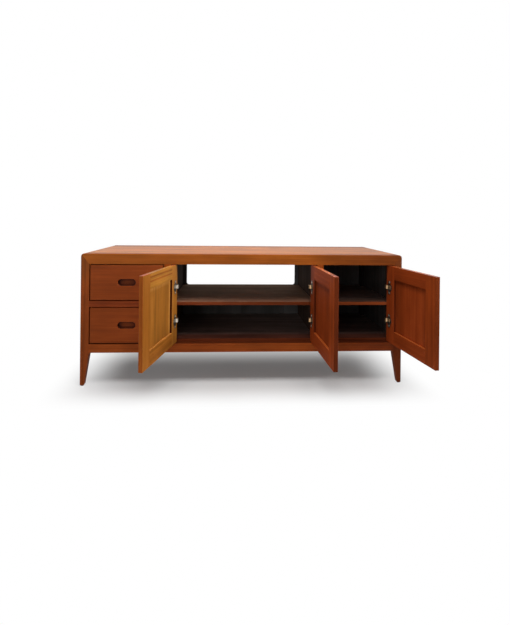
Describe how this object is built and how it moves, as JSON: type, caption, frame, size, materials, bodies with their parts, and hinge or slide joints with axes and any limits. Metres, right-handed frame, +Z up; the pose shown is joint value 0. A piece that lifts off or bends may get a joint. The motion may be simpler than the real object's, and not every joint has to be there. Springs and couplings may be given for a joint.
{
  "type": "television stand",
  "caption": "Long low timber television stand on tapered legs, with stacked drawers beside shelved bays behind framed doors on concealed hinges, and a cable window in the back.",
  "frame": {"origin": "on the floor, at the centre of the carcase's footprint", "axes": "+X to the right seen from the front, +Y to the back, +Z up"},
  "size_m": [1.5, 0.7802, 0.607],
  "materials": {
    "carcase_teak": "oiled, satin",
    "front_teak": "oiled, satin",
    "inner_teak": "oiled, matt",
    "back_ply": "veneered ply, matt",
    "hinge_steel": "nickel plated"
  },
  "bodies": {
    "carcase": {"front_left_post": "carcase_teak", "front_right_post": "carcase_teak", "rear_left_post": "carcase_teak", "rear_right_post": "carcase_teak", "front_top_rail": "carcase_teak", "rear_top_rail": "carcase_teak", "front_apron": "carcase_teak", "rear_apron": "carcase_teak", "top_panel": "carcase_teak", "bottom_panel": "inner_teak", "left_side_panel": "carcase_teak", "right_side_panel": "carcase_teak", "left_divider": "carcase_teak", "right_divider": "carcase_teak", "drawer_rail": "carcase_teak", "middle_shelf": "inner_teak", "right_shelf": "inner_teak", "shelf_cleats": "inner_teak", "left_back_panel": "back_ply", "middle_back_panel": "back_ply", "right_back_panel": "back_ply", "drawer_runners": "inner_teak", "hinge_batten": "inner_teak", "hinge_plates": "hinge_steel", "left_door_hinge_arms": "hinge_steel", "middle_door_hinge_arms": "hinge_steel", "right_door_hinge_arms": "hinge_steel"},
    "left_door": {"left_door_hinge_stile": "front_teak", "left_door_latch_stile": "front_teak", "left_door_top_rail": "front_teak", "left_door_bottom_rail": "front_teak", "left_door_panel": "front_teak", "left_door_hinge_cups": "hinge_steel", "left_door_hinge_pins": "hinge_steel"},
    "middle_door": {"middle_door_hinge_stile": "front_teak", "middle_door_latch_stile": "front_teak", "middle_door_top_rail": "front_teak", "middle_door_bottom_rail": "front_teak", "middle_door_panel": "front_teak", "middle_door_hinge_cups": "hinge_steel", "middle_door_hinge_pins": "hinge_steel"},
    "right_door": {"right_door_hinge_stile": "front_teak", "right_door_latch_stile": "front_teak", "right_door_top_rail": "front_teak", "right_door_bottom_rail": "front_teak", "right_door_panel": "front_teak", "right_door_hinge_cups": "hinge_steel", "right_door_hinge_pins": "hinge_steel"},
    "upper_drawer": {"upper_drawer_front": "front_teak", "upper_drawer_left_side": "inner_teak", "upper_drawer_right_side": "inner_teak", "upper_drawer_back": "inner_teak", "upper_drawer_bottom": "back_ply"},
    "lower_drawer": {"lower_drawer_front": "front_teak", "lower_drawer_left_side": "inner_teak", "lower_drawer_right_side": "inner_teak", "lower_drawer_back": "inner_teak", "lower_drawer_bottom": "back_ply"}
  },
  "joints": [
    {"name": "left_door_hinge", "type": "hinge", "parent": "carcase", "child": "left_door", "pos_m": [-0.327, -0.223, 0.3755], "axis": [0, 0, 1], "range_deg": [0, 103.5]},
    {"name": "middle_door_hinge", "type": "hinge", "parent": "carcase", "child": "middle_door", "pos_m": [0.327, -0.223, 0.3755], "axis": [0, 0, -1], "range_deg": [-11.5, 92]},
    {"name": "right_door_hinge", "type": "hinge", "parent": "carcase", "child": "right_door", "pos_m": [0.697, -0.223, 0.3755], "axis": [0, 0, -1], "range_deg": [-6, 97.5]},
    {"name": "upper_drawer_slide", "type": "slide", "parent": "carcase", "child": "upper_drawer", "axis": [0, -1, 0], "range_m": [0, 0.155]},
    {"name": "lower_drawer_slide", "type": "slide", "parent": "carcase", "child": "lower_drawer", "axis": [0, -1, 0], "range_m": [0, 0.155]}
  ]
}
